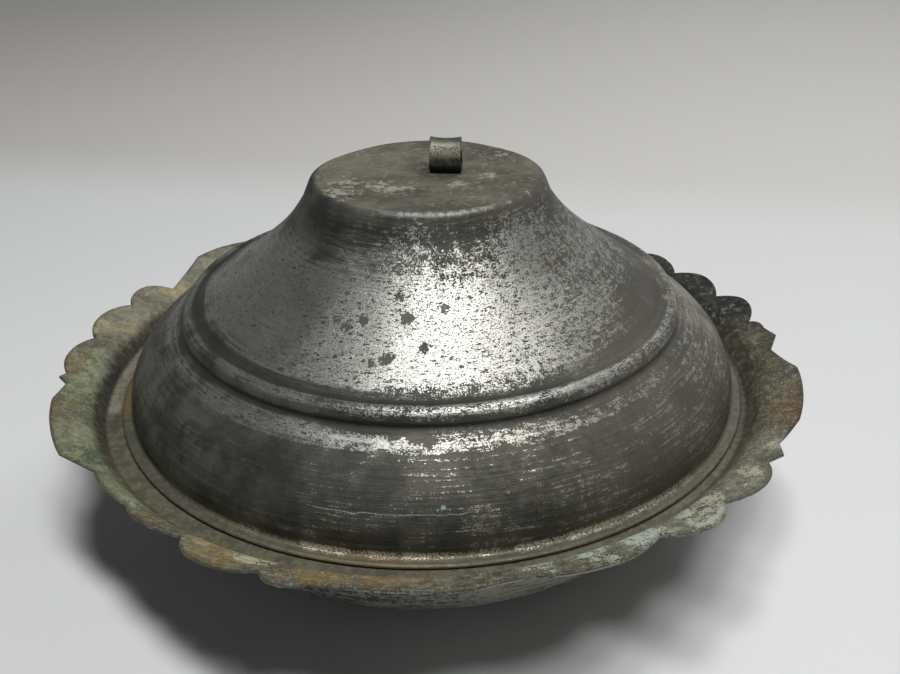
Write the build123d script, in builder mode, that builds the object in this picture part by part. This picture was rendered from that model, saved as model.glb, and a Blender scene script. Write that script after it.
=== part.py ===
from build123d import *
import math
import os

# Lidded copper dish with a scalloped rim, in millimetres.
# Origin: centre of the flat base, on the surface it stands on. +Z points up, through the lid.

# ---------------------------------------------------------------- driving dimensions
BOWL_SHEET = 1.2          # thickness of the bowl's copper sheet
LID_SHEET = 1.0           # thickness of the lid's copper sheet

# bowl
BASE_RADIUS = 46.0        # flat disc that the bowl stands on
MOUTH_RADIUS = 93.0       # inside the ledge, where the belly ends
MOUTH_HEIGHT = 36.0       # height at which the belly stands upright
BELLY_FULLNESS = 0.50     # 0.55 would make the belly a quarter ellipse
SEAT_HEIGHT = 42.0        # top of the ledge that carries the lid
RISER_FOOT_RADIUS = 103.0
RISER_HEAD_RADIUS = 107.0
RISER_RISE = 5.5
FLANGE_SLOPE = 22.0       # degrees above level
FLANGE_BLANK_RADIUS = 122.0   # of the round flange before its rim is cut
BEND = 1.8                # radius of the bends, on the middle of the sheet

# Scalloped rim: wide lobes with straight shoulders, rounded scallops and sharp cusps. It was
# cut by eye, so each crest is its own: its last angle, the radius of the notch there, its
# greatest radius, and its lean. A lobe's lean is the share of its span that each shoulder
# takes, and another crest's is the place of its highest point in its span.
LOBE_CROWNING = 0.4       # how far the middle of a lobe stands out past its corners
RIM_CRESTS = (
    ("lobe", -3.0, 113.0, 118.0, 0.25),
    ("cusp", 4.0, 115.0, 116.5, 0.5),
    ("scallop", 7.0, 112.0, 115.0, 0.5),
    ("scallop", 19.0, 112.5, 117.0, 0.5),
    ("scallop", 31.0, 112.0, 116.5, 0.5),
    ("scallop", 42.0, 112.5, 116.5, 0.5),
    ("lobe", 71.0, 112.5, 117.5, 0.25),
    ("scallop", 84.0, 112.5, 117.0, 0.5),
    ("scallop", 97.0, 112.5, 117.0, 0.5),
    ("scallop", 110.0, 113.0, 117.0, 0.5),
    ("cusp", 115.0, 113.0, 117.0, 0.5),
    ("lobe", 150.0, 111.0, 119.0, 0.3),
    ("scallop", 160.0, 114.0, 117.5, 0.5),
    ("scallop", 173.0, 114.0, 118.5, 0.5),
    ("scallop", 185.0, 115.5, 118.0, 0.5),
    ("cusp", 188.0, 114.5, 117.0, 0.5),
    ("lobe", 214.0, 110.5, 117.0, 0.2),
    ("scallop", 224.0, 110.0, 111.5, 0.5),
    ("scallop", 236.0, 110.0, 113.0, 0.6),
    ("scallop", 249.5, 114.0, 118.0, 0.6),
    ("scallop", 256.0, 115.0, 118.5, 0.6),
    ("lobe", 281.5, 114.5, 116.0, 0.2),
    ("scallop", 300.5, 112.0, 117.0, 0.5),
    ("scallop", 311.0, 114.5, 119.0, 0.4),
    ("scallop", 323.0, 115.0, 119.0, 0.6),
    ("cusp", 328.0, 115.0, 118.0, 0.3),
)

# lid, whose heights are counted from the middle of the brim's sheet
LID_SHIFT = (1.9, 1.3)    # the lid lies a little off centre within the play of its seat
SEAT_GAP = 0.25           # air left between the brim and the ledge
BRIM_RADIUS = 100.0
DOME_RADIUS = 96.0        # where the dome rises from the brim
GROOVE_RADIUS = 77.0      # lower edge of the bead that runs round the dome
GROOVE_HEIGHT = 26.4
BEAD_BULGE = (77.2, 29.2)
BEAD_TOP = (75.2, 31.0)
NECK_RADIUS = 37.6        # top of the flared bell, under the crown
NECK_HEIGHT = 61.0
CROWN_RADIUS = 33.4
CROWN_HEIGHT = 67.4
CROWN_DISH = 0.7          # how far the crown's rounded middle stands below its edge
CROWN_FLAT = 15.0         # radius of the level patch in the middle of the crown

# strap loop, its rivet and the washer inside the lid
LOOP_PLACE = (5.8, 3.6)   # from the lid's axis
LOOP_YAW = 6.0            # degrees, as the loop stands turned on its rivet
LOOP_WIDTH = 9.6
LOOP_DEPTH = 8.4
LOOP_HEIGHT = 10.2
STRAP = 0.8               # thickness of the strap
FOOT_BEND = 1.8           # radius on the middle of the strap
TOP_BEND = 2.8
PLY_END = 2.0             # how far each end of the strap reaches past the rivet
PLY_GAP = 0.06            # air between the two layers at the foot of the loop
TURN_GAP = 0.08           # air between the turning loop and the crown, and under the rivet's head
BORE_GAP = 0.05           # radial clearance of the loop on the rivet
SHANK_RADIUS = 1.5
HEAD_RADIUS = 2.0
HEAD_HEIGHT = 0.9
TAIL_RADIUS = 2.6
TAIL_HEIGHT = 1.2
WASHER_RADIUS = 5.5
WASHER_SHEET = 0.9

# ---------------------------------------------------------------- derived places
LEDGE_MID = SEAT_HEIGHT - BOWL_SHEET / 2
BRIM_MID = SEAT_HEIGHT + SEAT_GAP + LID_SHEET / 2
CROWN_TOP = BRIM_MID + CROWN_HEIGHT - CROWN_DISH + LID_SHEET / 2
CROWN_UNDER = CROWN_TOP - LID_SHEET
LID_AXIS = Axis((*LID_SHIFT, 0), (0, 0, 1))
LID_SECTION = Plane(origin=(*LID_SHIFT, BRIM_MID), x_dir=(1, 0, 0), z_dir=(0, -1, 0))
RIVET_X = LID_SHIFT[0] + LOOP_PLACE[0]
RIVET_Y = LID_SHIFT[1] + LOOP_PLACE[1]
RIVET_AXIS = Axis((RIVET_X, RIVET_Y, 0), (0, 0, 1))
RIVET_SECTION = Plane(origin=(RIVET_X, RIVET_Y, 0), x_dir=(1, 0, 0), z_dir=(0, -1, 0))
FOOT = CROWN_TOP + TURN_GAP
FOOT_TOP = FOOT + 2 * STRAP + PLY_GAP
HEAD_SEAT = FOOT_TOP + TURN_GAP
WASHER_UNDER = CROWN_UNDER - WASHER_SHEET
LOOP_SECTION = Plane(
    origin=(RIVET_X, RIVET_Y, FOOT),
    x_dir=Vector(0, 1, 0).rotate(Axis.Z, -LOOP_YAW),
    z_dir=Vector(1, 0, 0).rotate(Axis.Z, -LOOP_YAW),
)


def rim_point(angle, radius):
    """A point of the rim, from its angle round the bowl in degrees."""
    return Vector(radius, 0).rotate(Axis.Z, angle)


def lobe(start, start_notch, end, end_notch, radius, shoulder):
    """One wide lobe: two straight shoulders and a rounded crest between them."""
    right = rim_point(start + shoulder * (end - start), radius)
    left = rim_point(end - shoulder * (end - start), radius)
    Line(rim_point(start, start_notch), right)
    ThreePointArc(right, rim_point((start + end) / 2, radius + LOBE_CROWNING), left)
    Line(left, rim_point(end, end_notch))


def scallop(start, start_notch, end, end_notch, radius, lean):
    """One rounded crest between the notches at two angles."""
    ThreePointArc(
        rim_point(start, start_notch),
        rim_point(start + lean * (end - start), radius),
        rim_point(end, end_notch),
    )


def cusp(start, start_notch, end, end_notch, radius, lean):
    """One sharp tooth between the notches at two angles."""
    Polyline(
        rim_point(start, start_notch),
        rim_point(start + lean * (end - start), radius),
        rim_point(end, end_notch),
    )


CREST_SHAPES = {"lobe": lobe, "scallop": scallop, "cusp": cusp}

# ---------------------------------------------------------------- bowl
flange_reach = FLANGE_BLANK_RADIUS - RISER_HEAD_RADIUS
flange_head = LEDGE_MID + RISER_RISE
flange_rise = flange_reach * math.tan(math.radians(FLANGE_SLOPE))
belly_reach = MOUTH_RADIUS - BASE_RADIUS
belly_foot = (BASE_RADIUS, BOWL_SHEET / 2)
belly_head = (MOUTH_RADIUS, MOUTH_HEIGHT)

with BuildPart() as bowl:
    with BuildSketch(Plane.XZ) as bowl_section:
        with BuildLine():
            Line((0, BOWL_SHEET / 2), belly_foot)
            Bezier(
                belly_foot,
                (BASE_RADIUS + BELLY_FULLNESS * belly_reach, BOWL_SHEET / 2),
                (MOUTH_RADIUS, MOUTH_HEIGHT - BELLY_FULLNESS * MOUTH_HEIGHT),
                belly_head,
            )
            FilletPolyline(
                belly_head,
                (MOUTH_RADIUS, LEDGE_MID),
                (RISER_FOOT_RADIUS, LEDGE_MID),
                (RISER_HEAD_RADIUS, flange_head),
                (FLANGE_BLANK_RADIUS, flange_head + flange_rise),
                radius=BEND,
            )
        trace(line_width=BOWL_SHEET)
    revolve(axis=Axis.Z)
    with BuildSketch(Plane.XY) as rim_outline:
        with BuildLine():
            last_angle, start_notch = RIM_CRESTS[-1][1:3]
            start = last_angle - 360
            for shape, end, end_notch, crest_radius, lean in RIM_CRESTS:
                CREST_SHAPES[shape](start, start_notch, end, end_notch, crest_radius, lean)
                start, start_notch = end, end_notch
        make_face()
    extrude(amount=flange_head + 2 * flange_rise, mode=Mode.INTERSECT)
bowl.part.label = "bowl"

# ---------------------------------------------------------------- lid
with BuildPart() as lid:
    with BuildSketch(LID_SECTION) as lid_section:
        with BuildLine():
            FilletPolyline(
                (BRIM_RADIUS - LID_SHEET / 2, 0),
                (DOME_RADIUS, 0),
                (DOME_RADIUS, 3.5),
                radius=1.5,
            )
            Bezier((DOME_RADIUS, 3.5), (DOME_RADIUS, 12.5), (88.0, 20.3), (GROOVE_RADIUS, GROOVE_HEIGHT))
            ThreePointArc((GROOVE_RADIUS, GROOVE_HEIGHT), BEAD_BULGE, BEAD_TOP)
            Line(BEAD_TOP, (73.4, 30.3))
            Bezier((73.4, 30.3), (57.0, 41.0), (47.0, 47.0), (NECK_RADIUS, NECK_HEIGHT))
            FilletPolyline(
                (NECK_RADIUS, NECK_HEIGHT),
                (CROWN_RADIUS + 1.4, CROWN_HEIGHT),
                (CROWN_FLAT, CROWN_HEIGHT - CROWN_DISH),
                (0, CROWN_HEIGHT - CROWN_DISH),
                radius=2.0,
            )
        trace(line_width=LID_SHEET)
    revolve(axis=LID_AXIS)
    with Locations((RIVET_X, RIVET_Y, CROWN_TOP)):
        Hole(radius=SHANK_RADIUS)
lid.part.label = "lid"

# ---------------------------------------------------------------- strap loop
strand = LOOP_DEPTH / 2 - STRAP / 2
lower_ply = STRAP / 2
upper_ply = lower_ply + STRAP + PLY_GAP
loop_top = LOOP_HEIGHT - STRAP / 2

with BuildPart() as handle_loop:
    with BuildSketch(LOOP_SECTION) as strap_section:
        with BuildLine():
            FilletPolyline(
                (-PLY_END, lower_ply),
                (strand, lower_ply),
                (strand, loop_top),
                (-strand, loop_top),
                (-strand, upper_ply),
                (PLY_END, upper_ply),
                radius=(FOOT_BEND, TOP_BEND, TOP_BEND, FOOT_BEND),
            )
        trace(line_width=STRAP)
    extrude(amount=LOOP_WIDTH / 2, both=True)
    with Locations((RIVET_X, RIVET_Y, HEAD_SEAT)):
        Hole(radius=SHANK_RADIUS + BORE_GAP, depth=HEAD_SEAT - CROWN_TOP)
handle_loop.part.label = "handle_loop"

# ---------------------------------------------------------------- rivet
head_ball = (HEAD_RADIUS**2 + HEAD_HEIGHT**2) / (2 * HEAD_HEIGHT)
tail_ball = (TAIL_RADIUS**2 + TAIL_HEIGHT**2) / (2 * TAIL_HEIGHT)

with BuildPart() as handle_rivet:
    with BuildSketch(RIVET_SECTION) as rivet_section:
        with BuildLine():
            Line((0, HEAD_SEAT + HEAD_HEIGHT), (0, WASHER_UNDER - TAIL_HEIGHT))
            RadiusArc((0, WASHER_UNDER - TAIL_HEIGHT), (TAIL_RADIUS, WASHER_UNDER), -tail_ball)
            Polyline(
                (TAIL_RADIUS, WASHER_UNDER),
                (SHANK_RADIUS, WASHER_UNDER),
                (SHANK_RADIUS, HEAD_SEAT),
                (HEAD_RADIUS, HEAD_SEAT),
            )
            RadiusArc((HEAD_RADIUS, HEAD_SEAT), (0, HEAD_SEAT + HEAD_HEIGHT), -head_ball)
        make_face()
    revolve(axis=RIVET_AXIS)
handle_rivet.part.label = "handle_rivet"

# ---------------------------------------------------------------- washer under the crown
with BuildPart() as rivet_washer:
    with BuildSketch(Plane.XY.offset(WASHER_UNDER)):
        with Locations((RIVET_X, RIVET_Y)):
            Circle(WASHER_RADIUS)
            Circle(SHANK_RADIUS, mode=Mode.SUBTRACT)
    extrude(amount=WASHER_SHEET)
    fillet(rivet_washer.edges().group_by(Axis.Z)[0].sort_by(SortBy.RADIUS)[-1], radius=0.4)
rivet_washer.part.label = "rivet_washer"

# ---------------------------------------------------------------- files
os.makedirs("parts", exist_ok=True)
export_step(bowl.part, "parts/bowl.step")
export_step(lid.part, "parts/lid.step")
export_step(handle_loop.part, "parts/handle_loop.step")
export_step(handle_rivet.part, "parts/handle_rivet.step")
export_step(rivet_washer.part, "parts/rivet_washer.step")
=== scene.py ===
import bmesh
import bpy
import math
import numpy as np
from mathutils import Euler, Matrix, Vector


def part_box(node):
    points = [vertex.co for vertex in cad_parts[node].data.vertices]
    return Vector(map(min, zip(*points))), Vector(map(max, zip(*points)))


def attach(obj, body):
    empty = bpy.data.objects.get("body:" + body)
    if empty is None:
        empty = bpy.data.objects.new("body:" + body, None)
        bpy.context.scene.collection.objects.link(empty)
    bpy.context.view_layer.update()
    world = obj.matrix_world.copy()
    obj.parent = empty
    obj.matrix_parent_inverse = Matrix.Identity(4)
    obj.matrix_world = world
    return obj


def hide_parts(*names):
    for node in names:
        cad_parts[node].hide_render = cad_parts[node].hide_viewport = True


# The looks of a lidded copper dish: an old tinned lid with a strap loop, on a bowl with a
# scalloped rim gone green and ochre. Lengths are in millimetres and angles in degrees,
# counted from +X towards +Y, unless a name says otherwise. -Y is the front.

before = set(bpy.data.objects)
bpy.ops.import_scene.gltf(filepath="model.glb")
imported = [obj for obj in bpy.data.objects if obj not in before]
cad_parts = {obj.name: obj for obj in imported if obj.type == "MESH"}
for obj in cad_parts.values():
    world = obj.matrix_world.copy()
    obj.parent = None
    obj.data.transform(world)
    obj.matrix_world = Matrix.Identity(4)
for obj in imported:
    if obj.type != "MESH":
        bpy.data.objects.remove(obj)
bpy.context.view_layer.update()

MM = 0.001
UP = (0, 0, 1)


def place_of(node):
    """Lowest and highest corner of a CAD node, in millimetres."""
    low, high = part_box(node)
    return np.array(low) / MM, np.array(high) / MM


# ---------------------------------------------------------------- sizes, from the frame
LID_SHEET = 1.0
BOWL_SHEET = 1.2
LID_EDGE_ROUND = 0.4      # how far a sheet's rounded edge stands out, as a share of the sheet
BOWL_EDGE_ROUND = 0.3
lid_low, lid_high = place_of("lid")
LID_CENTRE = (lid_low + lid_high) / 2 * (1, 1, 0)
BRIM_MID = lid_low[2] + LID_SHEET / 2
rivet_low, rivet_high = place_of("handle_rivet")
RIVET_CENTRE = (rivet_low + rivet_high) / 2 * (1, 1, 0)
loop_low, loop_high = place_of("handle_loop")
washer_low, washer_high = place_of("rivet_washer")


# ---------------------------------------------------------------- outlines
def bezier(a, b, c, d, steps=24):
    """Points of a cubic curve, both ends included."""
    a, b, c, d = (np.array(p, float) for p in (a, b, c, d))
    t = np.linspace(0, 1, steps)[:, None]
    return (1 - t) ** 3 * a + 3 * (1 - t) ** 2 * t * b + 3 * (1 - t) * t**2 * c + t**3 * d


def straight(a, b, spacing=2.0):
    """Points of a straight line, both ends included."""
    a, b = np.array(a, float), np.array(b, float)
    steps = max(2, int(np.linalg.norm(b - a) / spacing) + 1)
    return a + np.linspace(0, 1, steps)[:, None] * (b - a)


def arc(a, b, c, steps=8):
    """Points of the circular arc through three points, both ends included."""
    a, b, c = (np.array(p, float) for p in (a, b, c))
    rows = 2 * np.array((b - a, c - a))
    centre = np.linalg.solve(rows, (b @ b - a @ a, c @ c - a @ a))
    turns = [math.atan2(*(p - centre)[::-1]) for p in (a, b, c)]
    sweep = np.unwrap(turns)
    reach = np.linalg.norm(a - centre)
    angle = np.linspace(sweep[0], sweep[2], steps)
    return centre + reach * np.stack((np.cos(angle), np.sin(angle)), axis=1)


def rounded(corners, radii, spacing=2.0, steps=6):
    """Points of a polyline whose inner corners are rounded with the given radii."""
    corners = [np.array(p, float) for p in corners]
    here, runs = corners[0], []
    for before, corner, after, radius in zip(corners, corners[1:], corners[2:], radii):
        back = (before - corner) / np.linalg.norm(before - corner)
        on = (after - corner) / np.linalg.norm(after - corner)
        half = math.acos(np.clip(back @ on, -1, 1)) / 2
        reach = radius / math.tan(half)
        centre = corner + (back + on) / np.linalg.norm(back + on) * radius / math.sin(half)
        start, end = corner + back * reach, corner + on * reach
        middle = centre + (corner - centre) / np.linalg.norm(corner - centre) * radius
        runs += [straight(here, start, spacing), arc(start, middle, end, steps)]
        here = end
    return joined(*runs, straight(here, corners[-1], spacing))


def joined(*runs):
    """Runs of points end to end, without the points that they share."""
    points = np.concatenate(runs)
    step = np.linalg.norm(np.diff(points, axis=0), axis=1)
    return points[np.concatenate(([True], step > 1e-4))]


def normals_of(line):
    """Unit normals of a line of points, to the left of its direction."""
    along = np.gradient(line, axis=0)
    along /= np.linalg.norm(along, axis=1)[:, None]
    return np.stack((-along[:, 1], along[:, 0]), axis=1)


def turned(section, angles):
    """The section's (radius, height) points turned to each angle: rows by columns by xyz."""
    angle = np.radians(angles)
    radius, height = section[:, 0, None], section[:, 1, None]
    return np.stack((radius * np.cos(angle), radius * np.sin(angle), height + 0 * angle), axis=-1)


def ripple(points, length, seed, waves=24):
    """Smooth bumps of about the given length over the points, from -1 to 1 or so."""
    rng = np.random.default_rng(seed)
    heading = rng.normal(size=(waves, 3))
    heading /= np.linalg.norm(heading, axis=1)[:, None]
    phase = rng.uniform(0, 2 * math.pi, waves)
    return np.sin(points @ heading.T * (2 * math.pi / length) + phase).sum(-1) / math.sqrt(waves)


def faded(value, start, end):
    """0 before start, 1 past end, smooth between them."""
    t = np.clip((value - start) / (end - start), 0, 1)
    return t * t * (3 - 2 * t)


# ---------------------------------------------------------------- meshes
def skin(name, grid, poles=False, closed=False, split=None):
    """A mesh over a grid of points, rows along a section and columns round the axis.
    With poles the first and last rows are single points; closed joins the last row to the
    first. The faces before row split take material 0, and those after it material 1."""
    rows, columns = grid.shape[:2]
    number = np.arange(rows * columns).reshape(rows, columns)
    below, above = (number, np.roll(number, -1, axis=0)) if closed else (number[:-1], number[1:])
    quads = np.stack((below, np.roll(below, -1, 1), np.roll(above, -1, 1), above), axis=-1)
    mesh = bpy.data.meshes.new(name)
    mesh.from_pydata((grid.reshape(-1, 3) * MM).tolist(), [], quads.reshape(-1, 4).tolist())
    if split:
        index = np.repeat(np.arange(len(quads)) >= split, columns).astype(np.int32)
        mesh.polygons.foreach_set("material_index", index)
    work = bmesh.new()
    work.from_mesh(mesh)
    if poles:
        bmesh.ops.remove_doubles(work, verts=work.verts, dist=1e-7)
    bmesh.ops.recalc_face_normals(work, faces=work.faces)
    for face in work.faces:
        face.smooth = True
    work.to_mesh(mesh)
    work.free()
    piece = bpy.data.objects.new(name, mesh)
    bpy.context.scene.collection.objects.link(piece)
    return piece


def sheet_sides(middle, normal, thickness):
    """The two faces of a sheet, from the points in its middle and their normals."""
    return middle + normal * thickness / 2, middle - normal * thickness / 2


# ---------------------------------------------------------------- materials
class Paint:
    """One material's node tree, with places in millimetres counted from a centre."""

    def __init__(self, name, centre=(0, 0, 0)):
        self.material = bpy.data.materials.new(name)
        self.material.use_nodes = True
        self.tree = self.material.node_tree
        self.shader = self.tree.nodes["Principled BSDF"]
        coordinates = self.node("TexCoord").outputs["Object"]
        local = self.vector("SUBTRACT", coordinates, Vector(centre) * MM)
        self.place = self.vector("SCALE", local, scale=1 / MM)
        self.x, self.y, self.z = self.node("SeparateXYZ", self.place).outputs
        flat = self.vector("MULTIPLY", self.place, (1, 1, 0))
        self.radius = self.node("VectorMath", flat, operation="LENGTH").outputs["Value"]
        self.outward = self.vector("NORMALIZE", flat)

    def put(self, socket, value):
        if isinstance(value, bpy.types.NodeSocket):
            self.tree.links.new(value, socket)
        elif value is not None:
            socket.default_value = value

    def node(self, kind, *values, **settings):
        made = self.tree.nodes.new("ShaderNode" + kind)
        for key, value in settings.items():
            setattr(made, key, value)
        for socket, value in zip(made.inputs, values):
            self.put(socket, value)
        return made

    def vector(self, operation, a, b=None, scale=None):
        made = self.node("VectorMath", a, b, operation=operation)
        if scale is not None:
            self.put(made.inputs["Scale"], scale)
        return made.outputs["Vector"]

    def math(self, operation, *values):
        return self.node("Math", *values, operation=operation).outputs[0]

    def times(self, *values):
        product = values[0]
        for value in values[1:]:
            product = self.math("MULTIPLY", product, value)
        return product

    def plus(self, *values):
        total = values[0]
        for value in values[1:]:
            total = self.math("ADD", total, value)
        return total

    def most(self, *values):
        """The largest of several values."""
        top = values[0]
        for value in values[1:]:
            top = self.math("MAXIMUM", top, value)
        return top

    def ramp(self, value, start, end, low=0.0, high=1.0):
        """low before start, high past end, and smooth between them."""
        made = self.node("MapRange", value, start, end, low, high, interpolation_type="SMOOTHSTEP")
        return made.outputs[0]

    def even(self, value, spread):
        """A noise around 0.5 with the given standard deviation, spread evenly from 0 to 1."""
        return self.ramp(value, 0.5 - 2 * spread, 0.5 + 2 * spread)

    def cover(self, even_noise, share, soft=0.08):
        """A mask that covers the given share of the surface, its edges soft wide."""
        return self.ramp(self.plus(even_noise, share), 1 - soft / 2, 1 + soft / 2)

    def between(self, value, start, end, soft):
        """1 between two values, fading out over soft on both sides."""
        rise = self.ramp(value, start - soft, start + soft)
        return self.times(rise, self.ramp(value, end - soft, end + soft, 1, 0))

    def noise(self, vector, scale, detail=4.0, rough=0.55, distortion=0.0):
        made = self.node("TexNoise")
        for key, value in (
            ("Vector", vector), ("Scale", scale), ("Detail", detail),
            ("Roughness", rough), ("Distortion", distortion),
        ):
            self.put(made.inputs[key], value)
        return made.outputs[0]

    def cells(self, vector, scale, feature="F1"):
        made = self.node("TexVoronoi", feature=feature)
        self.put(made.inputs["Vector"], vector)
        self.put(made.inputs["Scale"], scale)
        return made

    def toward(self, angle, full, none):
        """1 within full degrees of an angle round the axis, 0 past none degrees."""
        heading = (math.cos(math.radians(angle)), math.sin(math.radians(angle)), 0)
        made = self.node("VectorMath", self.outward, heading, operation="DOT_PRODUCT")
        near, far = math.cos(math.radians(full)), math.cos(math.radians(none))
        return self.ramp(made.outputs["Value"], far, near)

    def spot(self, angle, radius, height, size, soft=0.5, wobble=None):
        """1 near a point on the surface, 0 past size; wobble is added to the distance."""
        a = math.radians(angle)
        point = (radius * math.cos(a), radius * math.sin(a), height)
        made = self.node("VectorMath", self.place, point, operation="DISTANCE").outputs["Value"]
        if wobble is not None:
            made = self.plus(made, wobble)
        return self.ramp(made, size * (1 - soft), size, 1, 0)

    def streaks(self, along, across, slope):
        """Coordinates stretched round the axis; slope is the sign of height along the section."""
        run = self.plus(self.radius, self.times(self.z, slope))
        lifted = self.node("CombineXYZ", 0.0, 0.0, self.times(run, across)).outputs[0]
        return self.vector("ADD", self.vector("SCALE", self.outward, scale=along), lifted)

    def colour(self, share, a, b):
        made = self.node("Mix", data_type="RGBA")
        self.put(made.inputs[0], share)
        self.put(made.inputs[6], a)
        self.put(made.inputs[7], b)
        return made.outputs[2]

    def value(self, share, a, b):
        made = self.node("Mix", data_type="FLOAT")
        self.put(made.inputs[0], share)
        self.put(made.inputs[2], a)
        self.put(made.inputs[3], b)
        return made.outputs[0]

    def relief(self, *layers):
        """Bump from several (height, depth in millimetres) layers."""
        normal = None
        for height, depth in layers:
            bump = self.node("Bump")
            bump.inputs["Distance"].default_value = depth * MM
            self.put(bump.inputs["Height"], height)
            self.put(bump.inputs["Normal"], normal)
            normal = bump.outputs["Normal"]
        self.put(self.shader.inputs["Normal"], normal)

    def finish(self, colour, roughness, metallic):
        self.put(self.shader.inputs["Base Color"], colour)
        self.put(self.shader.inputs["Roughness"], roughness)
        self.put(self.shader.inputs["Metallic"], metallic)
        return self.material


def rgb(red, green, blue):
    return (red, green, blue, 1.0)


TIN = rgb(0.60, 0.60, 0.57)
# dull tin: the colour of the veiled streaks, and of the painted shade on the lid's left
VEILED_AND_SHADED_TIN = rgb(0.27, 0.27, 0.245)
# colour of the painted highlight at the dome's foot
GLINT_HIGHLIGHT = rgb(0.60, 0.56, 0.44)
PATINA = rgb(0.098, 0.095, 0.082)
DEEP_PATINA = rgb(0.042, 0.043, 0.039)
WARM_GRIME = rgb(0.135, 0.115, 0.078)
SOOT = rgb(0.030, 0.031, 0.029)
OLIVE = rgb(0.150, 0.140, 0.095)
VERDIGRIS = rgb(0.205, 0.225, 0.130)
DARK_VERDIGRIS = rgb(0.110, 0.140, 0.078)
PALE_VERDIGRIS = rgb(0.270, 0.315, 0.205)
OCHRE = rgb(0.260, 0.190, 0.078)
YELLOW = rgb(0.460, 0.400, 0.180)
TAN = rgb(0.245, 0.230, 0.170)
MINT = rgb(0.400, 0.460, 0.390)
CREAM = rgb(0.420, 0.410, 0.300)
UMBER = rgb(0.100, 0.088, 0.062)
RUST = rgb(0.175, 0.105, 0.055)
SLATE = rgb(0.040, 0.042, 0.040)
DUST = rgb(0.380, 0.360, 0.270)
BARE_COPPER = rgb(0.260, 0.155, 0.090)


class LidPaint(Paint):
    """The lid's outside, with the noises, zones and sides that its layers share. Its heights
    are counted from the middle of the brim's sheet."""

    def __init__(self):
        super().__init__("lid_worn_tin", (*LID_CENTRE[:2], BRIM_MID))
        self.clouds = self.noise(self.place, 0.075, 5, 0.6)
        self.clumps = self.noise(self.place, 0.50, 5, 0.68)
        self.grain = self.noise(self.place, 2.1, 4, 0.66)
        self.fine = self.noise(self.place, 3.4, 3, 0.6)
        self.turning = self.noise(self.streaks(3.2, 0.75, -1), 1.0, 6, 0.68)
        self.lines = self.noise(self.streaks(9.0, 2.6, -1), 1.0, 4, 0.64)
        self.even_clouds = self.even(self.clouds, 0.066)
        self.even_turning = self.even(self.turning, 0.058)
        wobble = self.plus(self.noise(self.place, 0.9, 3, 0.6), -0.5)
        self.wobble = self.times(wobble, 6.0)

        self.crown = self.ramp(self.radius, 33.0, 35.0, 1, 0)
        self.dome = self.ramp(self.radius, 77, 79)
        self.front = self.toward(-88, 18, 55)
        self.front_right = self.toward(-58, 12, 42)
        self.right = self.toward(-22, 20, 50)
        self.left = self.toward(-140, 25, 60)
        self.back_right = self.toward(15, 25, 60)
        self.satin = self.toward(-160, 32, 68)
        self.right_half = self.most(self.right, self.back_right)


def tin_share(p):
    """The share of the lid that still has bright tin on it, zone by zone."""
    neck = p.between(p.radius, 39.2, 45, 3.4)
    neck_top = p.between(p.radius, 36.8, 41, 1.2)
    bell = p.between(p.radius, 45, 70.5, 4)
    bead = p.between(p.radius, 74.4, 77.4, 0.5)
    shoulder = p.between(p.radius, 80.0, 83.2, 1.8)
    skirt = p.between(p.radius, 83.2, 96.3, 1.8)
    on_neck = p.plus(
        p.times(p.front, 0.40), p.times(p.front_right, 0.10), p.times(p.right, 0.30),
    )
    on_bell = p.plus(
        0.36, p.times(p.front, 0.62), p.times(p.front_right, 0.10), p.times(p.left, 0.54),
    )
    on_bead = p.plus(0.20, p.times(p.toward(-80, 14, 36), 0.72), p.times(p.right, 0.30))
    on_shoulder = p.plus(
        0.12, p.times(p.front, 0.40), p.times(p.left, 0.30), p.times(p.back_right, 0.2),
        p.times(p.toward(-97, 20, 32), 0.34),
    )
    on_skirt = p.plus(
        0.05, p.times(p.front, -0.15), p.times(p.front_right, 0.10), p.times(p.right, -0.08),
    )
    return p.plus(
        p.times(p.crown, -0.3),
        p.times(neck, on_neck),
        p.times(neck_top, p.toward(-46, 8, 30), 0.28),
        p.times(bell, on_bell),
        p.times(bead, on_bead),
        p.times(shoulder, on_shoulder),
        p.times(skirt, on_skirt),
    )


def tin_left(p):
    """Where tin is left: in speckles, and rubbed to soft streaks on the satin side."""
    share = tin_share(p)
    uneven = p.plus(
        p.times(p.plus(p.even_clouds, -0.5), 0.36),
        p.times(p.plus(p.even_turning, -0.5), p.value(p.dome, 0.34, 0.56)),
        p.times(p.right_half, p.between(p.radius, 62, 71, 4), -0.42),
    )
    grained = p.even(p.plus(p.times(p.grain, 0.56), p.times(p.clumps, 0.44)), 0.044)
    combed = p.even(
        p.plus(p.times(p.grain, 0.38), p.times(p.clumps, 0.32), p.times(p.lines, 0.30)), 0.036,
    )
    texture = p.value(p.times(p.dome, p.ramp(p.radius, 82, 87)), grained, combed)
    speckled = p.cover(texture, p.plus(share, uneven), 0.16)
    brushed = p.even(
        p.plus(p.times(p.clouds, 0.42), p.times(p.turning, 0.40), p.times(p.lines, 0.18)), 0.038,
    )
    rubbed = p.times(p.cover(brushed, share, 1.8), p.ramp(share, -0.1, 0.3))
    return p.value(p.times(p.satin, 0.9), speckled, rubbed)


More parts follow.
